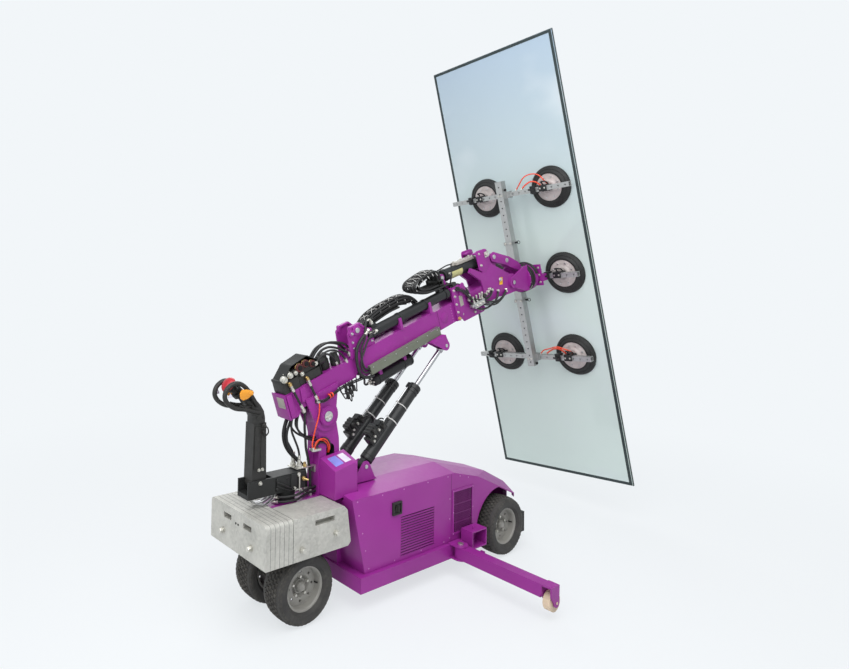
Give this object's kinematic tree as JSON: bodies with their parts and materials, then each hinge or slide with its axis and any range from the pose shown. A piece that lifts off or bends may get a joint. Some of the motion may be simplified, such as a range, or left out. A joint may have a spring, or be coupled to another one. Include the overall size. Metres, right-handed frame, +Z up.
{
  "type": "glass panel lifter",
  "caption": "Self-propelled vacuum lifter: counterweighted tiller-steered chassis, luffing telescopic boom, tilting and turning head, and a suction cup frame holding an insulating glass unit.",
  "frame": {"origin": "middle of the outline seen from above, on the ground", "axes": "+X forward from the tiller to the pane, +Y to the machine's left, +Z up"},
  "size_m": [3.5763, 2.068, 3.9497],
  "materials": {
    "hull_paint": "glossy purple paint",
    "hood_paint": "glossy purple paint on folded sheet",
    "dark_steel": "black paint, slightly worn",
    "weight_zinc": "light grey galvanised, mottled",
    "zinc_bolts": "zinc plated",
    "tyre_rubber": "matt tread rubber",
    "rim_steel": "silver grey paint",
    "tiller_plastic": "fine grain",
    "button_red": "smooth",
    "rocker_amber": "smooth",
    "castor_nylon": "cast nylon",
    "battery_case": "moulded",
    "ram_black": "glossy black paint",
    "rod_chrome": "polished",
    "pin_steel": "turned",
    "channel_green": "worn grey green paint",
    "hose_rubber": "braided hose cover",
    "hose_red": "air hose",
    "beam_aluminium": "anodised extrusion",
    "hub_paint": "glossy purple paint",
    "cup_rubber": "moulded rim on a pale plate",
    "pane_glass": "reflective",
    "pane_spacer": "dark edge seal",
    "bumper_black": "satin black",
    "switch_black": "moulded"
  },
  "bodies": {
    "chassis": {"base_frame": "hull_paint", "mast": "hull_paint", "console_box": "hood_paint", "hood_top": "hood_paint", "side_panels": "hull_paint", "power_pack": "battery_case", "drive_axle": "dark_steel", "bumper": "bumper_black", "rear_weights": "weight_zinc", "side_weights": "weight_zinc", "bolts_and_pins": "zinc_bolts", "switch_plate": "switch_black", "mast_hoses": "hose_rubber"},
    "switch": {"switch_key": "button_red"},
    "front_wheel_left": {"wheel_front_left": "rim_steel", "tyre_front_left": "tyre_rubber"},
    "front_wheel_right": {"wheel_front_right": "rim_steel", "tyre_front_right": "tyre_rubber"},
    "steering": {"steering_fork": "dark_steel", "tiller_base": "dark_steel"},
    "rear_wheel_left": {"wheel_rear_left": "rim_steel", "tyre_rear_left": "tyre_rubber"},
    "rear_wheel_right": {"wheel_rear_right": "rim_steel", "tyre_rear_right": "tyre_rubber"},
    "tiller": {"tiller_column": "tiller_plastic", "tiller_head": "tiller_plastic"},
    "belly_button": {"belly_button": "button_red"},
    "thumb_rocker": {"thumb_rocker": "rocker_amber"},
    "left_leg": {"leg_left": "hull_paint"},
    "right_leg": {"leg_right": "hull_paint"},
    "left_castor": {"castor_left": "castor_nylon"},
    "right_castor": {"castor_right": "castor_nylon"},
    "boom": {"boom": "hull_paint", "boom_pin": "pin_steel", "side_channel": "channel_green", "valve_box": "dark_steel", "vacuum_tank": "ram_black", "extend_barrel": "ram_black", "boom_hoses": "hose_rubber"},
    "ram_rods": {"ram_rods": "rod_chrome"},
    "ram_barrels": {"ram_barrels": "ram_black"},
    "inner_boom": {"inner_boom": "hull_paint", "extend_rod": "rod_chrome", "head_hoses": "hose_rubber"},
    "tilt_barrel": {"tilt_barrel": "ram_black"},
    "tilt_rod": {"tilt_rod": "rod_chrome"},
    "tilt_rocker": {"tilt_rocker": "hull_paint"},
    "tilt_link": {"tilt_link": "hull_paint"},
    "head": {"slew_bracket": "hull_paint", "slew_drive": "dark_steel"},
    "vacuum_frame": {"frame_hub": "hub_paint", "middle_cups": "cup_rubber", "pane_glass": "pane_glass", "pane_edge": "pane_spacer"},
    "upper_frame": {"upper_beam": "beam_aluminium", "upper_cups": "cup_rubber", "upper_hoses": "hose_red"},
    "lower_frame": {"lower_beam": "beam_aluminium", "lower_cups": "cup_rubber", "lower_hoses": "hose_red"}
  },
  "joints": [
    {"name": "front_left_roll", "type": "hinge", "parent": "chassis", "child": "front_wheel_left", "pos_m": [0.38885, 0.268, 0.2], "axis": [0, 1, 0], "continuous": true},
    {"name": "front_right_roll", "type": "hinge", "parent": "chassis", "child": "front_wheel_right", "pos_m": [0.38885, -0.268, 0.2], "axis": [0, 1, 0], "continuous": true},
    {"name": "steer", "type": "hinge", "parent": "chassis", "child": "steering", "pos_m": [-1.31715, 0, 0.4], "axis": [0, 0, 1], "range_deg": [-85, 85]},
    {"name": "rear_left_roll", "type": "hinge", "parent": "steering", "child": "rear_wheel_left", "pos_m": [-1.31715, 0.149, 0.2], "axis": [0, 1, 0], "continuous": true},
    {"name": "rear_right_roll", "type": "hinge", "parent": "steering", "child": "rear_wheel_right", "pos_m": [-1.31715, -0.149, 0.2], "axis": [0, 1, 0], "continuous": true},
    {"name": "tiller_tilt", "type": "hinge", "parent": "steering", "child": "tiller", "pos_m": [-1.52915, 0, 0.782], "axis": [0, -1, 0], "range_deg": [0, 60]},
    {"name": "belly_button_press", "type": "slide", "parent": "tiller", "child": "belly_button", "axis": [0.766, 0, -0.6428], "range_m": [0, 0.01], "stiffness_N_per_m": 1500, "springref_m": -0.006},
    {"name": "thumb_rocker_turn", "type": "hinge", "parent": "tiller", "child": "thumb_rocker", "pos_m": [-1.61315, 0, 1.303], "axis": [0, 1, 0], "range_deg": [-30, 30], "stiffness_Nm_per_rad": 1.5},
    {"name": "switch_turn", "type": "hinge", "parent": "chassis", "child": "switch", "pos_m": [-0.66515, -0.281, 0.534], "axis": [0, 1, 0], "range_deg": [0, 90]},
    {"name": "left_leg_swing", "type": "hinge", "parent": "chassis", "child": "left_leg", "pos_m": [-0.13715, 0.355, 0.1635], "axis": [0, 0, 1], "range_deg": [0, 88]},
    {"name": "right_leg_swing", "type": "hinge", "parent": "chassis", "child": "right_leg", "pos_m": [-0.13715, -0.355, 0.1635], "axis": [0, 0, -1], "range_deg": [0, 88]},
    {"name": "left_castor_roll", "type": "hinge", "parent": "left_leg", "child": "left_castor", "pos_m": [-0.11915, 1, 0.105], "axis": [0, 1, 0], "continuous": true},
    {"name": "right_castor_roll", "type": "hinge", "parent": "right_leg", "child": "right_castor", "pos_m": [-0.11915, -1, 0.105], "axis": [0, 1, 0], "continuous": true},
    {"name": "boom_luff", "type": "hinge", "parent": "chassis", "child": "boom", "pos_m": [-1.06215, 0, 1.108], "axis": [0, -1, 0], "range_deg": [-19, 25]},
    {"name": "ram_rod_swing", "type": "hinge", "parent": "boom", "child": "ram_rods", "pos_m": [-0.02889, 0, 1.48282], "axis": [0, -1, 0], "range_deg": [-1.4, 1.11]},
    {"name": "ram_stroke", "type": "slide", "parent": "ram_rods", "child": "ram_barrels", "axis": [-0.7314, 0, -0.682], "range_m": [-0.1406, 0.1844]},
    {"name": "boom_extend", "type": "slide", "parent": "boom", "child": "inner_boom", "axis": [0.9455, 0, 0.3256], "range_m": [0, 0.55]},
    {"name": "head_tilt", "type": "hinge", "parent": "inner_boom", "child": "head", "pos_m": [0.83887, 0, 1.93285], "axis": [0, 1, 0], "range_deg": [-25, 30]},
    {"name": "rocker_turn", "type": "hinge", "parent": "inner_boom", "child": "tilt_rocker", "pos_m": [0.67201, 0, 1.95366], "axis": [0, 1, 0], "range_deg": [-25, 30]},
    {"name": "link_turn", "type": "hinge", "parent": "tilt_rocker", "child": "tilt_link", "pos_m": [0.6181, 0, 2.12864], "axis": [0, 1, 0], "range_deg": [-30, 25]},
    {"name": "tilt_barrel_swing", "type": "hinge", "parent": "inner_boom", "child": "tilt_barrel", "pos_m": [0.02841, 0, 1.95838], "axis": [0, 1, 0], "range_deg": [-0.4, 0.44]},
    {"name": "tilt_stroke", "type": "slide", "parent": "tilt_barrel", "child": "tilt_rod", "axis": [0.9608, 0, 0.2774], "range_m": [-0.0792, 0.0947]},
    {"name": "slew", "type": "hinge", "parent": "head", "child": "vacuum_frame", "pos_m": [1.36465, 0, 2.0328], "axis": [0.9771, 0, 0.2129], "continuous": true},
    {"name": "upper_beam_slide", "type": "slide", "parent": "vacuum_frame", "child": "upper_frame", "axis": [-0.2124, 0.0682, 0.9748], "range_m": [0, 0.12]},
    {"name": "lower_beam_slide", "type": "slide", "parent": "vacuum_frame", "child": "lower_frame", "axis": [0.2124, -0.0682, -0.9748], "range_m": [0, 0.12]}
  ],
  "couplings": [
    {"joint": "ram_rod_swing", "follows": "boom_luff", "ratio": -0.048},
    {"joint": "ram_stroke", "follows": "boom_luff", "m_per_rad": 0.418},
    {"joint": "rocker_turn", "follows": "head_tilt", "ratio": 1},
    {"joint": "link_turn", "follows": "head_tilt", "ratio": -1},
    {"joint": "tilt_barrel_swing", "follows": "head_tilt", "ratio": 0.008},
    {"joint": "tilt_stroke", "follows": "head_tilt", "m_per_rad": 0.177}
  ]
}
